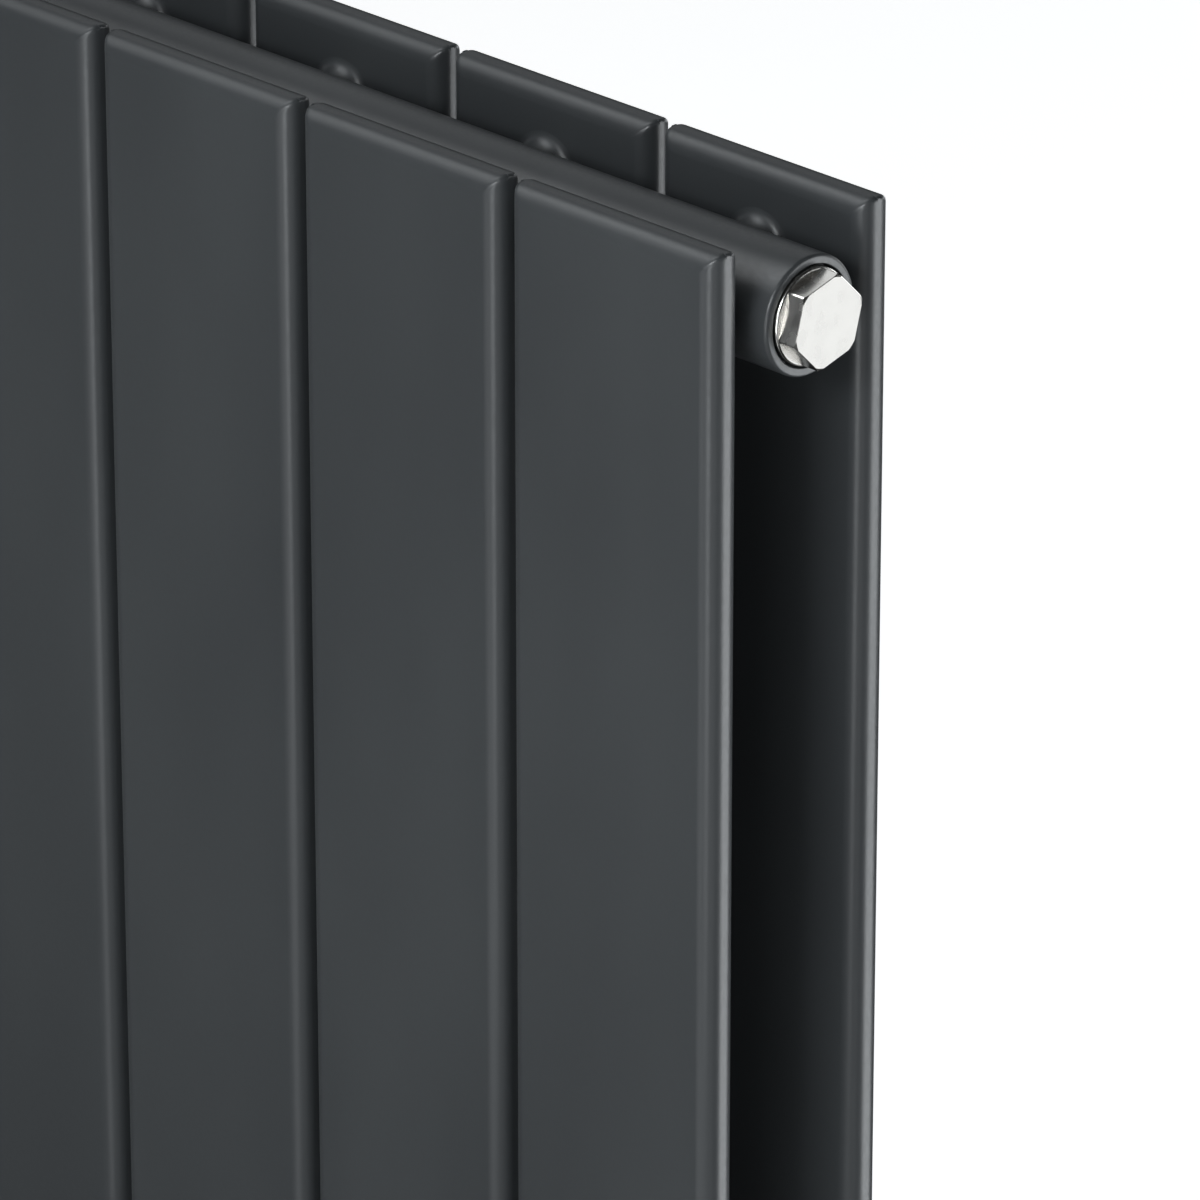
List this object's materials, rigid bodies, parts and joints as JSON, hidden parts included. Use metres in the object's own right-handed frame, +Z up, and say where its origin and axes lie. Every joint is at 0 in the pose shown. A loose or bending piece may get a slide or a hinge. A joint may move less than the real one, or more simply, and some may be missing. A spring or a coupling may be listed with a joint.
{
  "type": "radiator",
  "caption": "Double flat-panel wall radiator: two rows of upright flat steel tubes joined to round headers between them, with a hexagon plug, an air vent and wall brackets.",
  "frame": {"origin": "centre of the four wall fixings, on the wall plane that the brackets' backs lie on", "axes": "+X along the headers to the right-hand end as seen from the room, +Y into the wall, +Z up"},
  "size_m": [0.628, 0.095, 0.6],
  "materials": {
    "painted_steel": "satin anthracite powder coat",
    "nickel_plate": "polished nickel plate",
    "seal_rubber": "black moulded rubber",
    "zinc_plate": "bright zinc plate",
    "liner_plastic": "black moulded plastic",
    "nozzle_plastic": "white moulded plastic",
    "bleed_brass": "machined brass",
    "tip_plastic": "white low-friction plastic"
  },
  "bodies": {
    "wall_brackets": {"top_left_wall_bracket": "zinc_plate", "top_left_bracket_liner": "liner_plastic", "top_right_wall_bracket": "zinc_plate", "top_right_bracket_liner": "liner_plastic", "bottom_left_wall_bracket": "zinc_plate", "bottom_left_bracket_liner": "liner_plastic", "bottom_right_wall_bracket": "zinc_plate", "bottom_right_bracket_liner": "liner_plastic"},
    "radiator": {"front_panel_1": "painted_steel", "front_panel_2": "painted_steel", "front_panel_3": "painted_steel", "front_panel_4": "painted_steel", "front_panel_5": "painted_steel", "front_panel_6": "painted_steel", "front_panel_7": "painted_steel", "front_panel_8": "painted_steel", "rear_panel_1": "painted_steel", "rear_panel_2": "painted_steel", "rear_panel_3": "painted_steel", "rear_panel_4": "painted_steel", "rear_panel_5": "painted_steel", "rear_panel_6": "painted_steel", "rear_panel_7": "painted_steel", "rear_panel_8": "painted_steel", "front_top_caps": "painted_steel", "front_top_nipples": "painted_steel", "front_bottom_caps": "painted_steel", "front_bottom_nipples": "painted_steel", "rear_top_caps": "painted_steel", "rear_top_nipples": "painted_steel", "rear_bottom_caps": "painted_steel", "rear_bottom_nipples": "painted_steel", "top_header": "painted_steel", "top_left_bush": "painted_steel", "top_left_lug": "painted_steel", "top_left_hanging_pin": "zinc_plate", "top_right_bush": "painted_steel", "top_right_lug": "painted_steel", "top_right_hanging_pin": "zinc_plate", "bottom_header": "painted_steel", "bottom_left_bush": "painted_steel", "bottom_left_lug": "painted_steel", "bottom_left_hanging_pin": "zinc_plate", "bottom_right_bush": "painted_steel", "bottom_right_lug": "painted_steel", "bottom_right_hanging_pin": "zinc_plate", "blanking_plug": "nickel_plate", "blanking_o_ring": "seal_rubber", "vent_plug": "nickel_plate", "vent_o_ring": "seal_rubber"},
    "vent_nozzle": {"vent_nozzle": "nozzle_plastic"},
    "bleed_tip": {"bleed_seal_tip": "tip_plastic"},
    "bleed_screw": {"bleed_screw": "bleed_brass"}
  },
  "joints": [
    {"name": "lift_off", "type": "slide", "parent": "wall_brackets", "child": "radiator", "axis": [0, 0, 1], "range_m": [0, 0.016]},
    {"name": "nozzle_swivel", "type": "hinge", "parent": "radiator", "child": "vent_nozzle", "pos_m": [-0.303, -0.0625, 0.2765], "axis": [-1, 0, 0], "continuous": true},
    {"name": "bleed_travel", "type": "slide", "parent": "radiator", "child": "bleed_tip", "axis": [-1, 0, 0], "range_m": [0, 0.001]},
    {"name": "bleed_turn", "type": "hinge", "parent": "bleed_tip", "child": "bleed_screw", "pos_m": [-0.303, -0.0625, 0.2765], "axis": [-1, 0, 0], "range_deg": [0, 360]}
  ],
  "couplings": [
    {"joint": "bleed_turn", "follows": "bleed_travel", "rad_per_m": 6283.2}
  ]
}
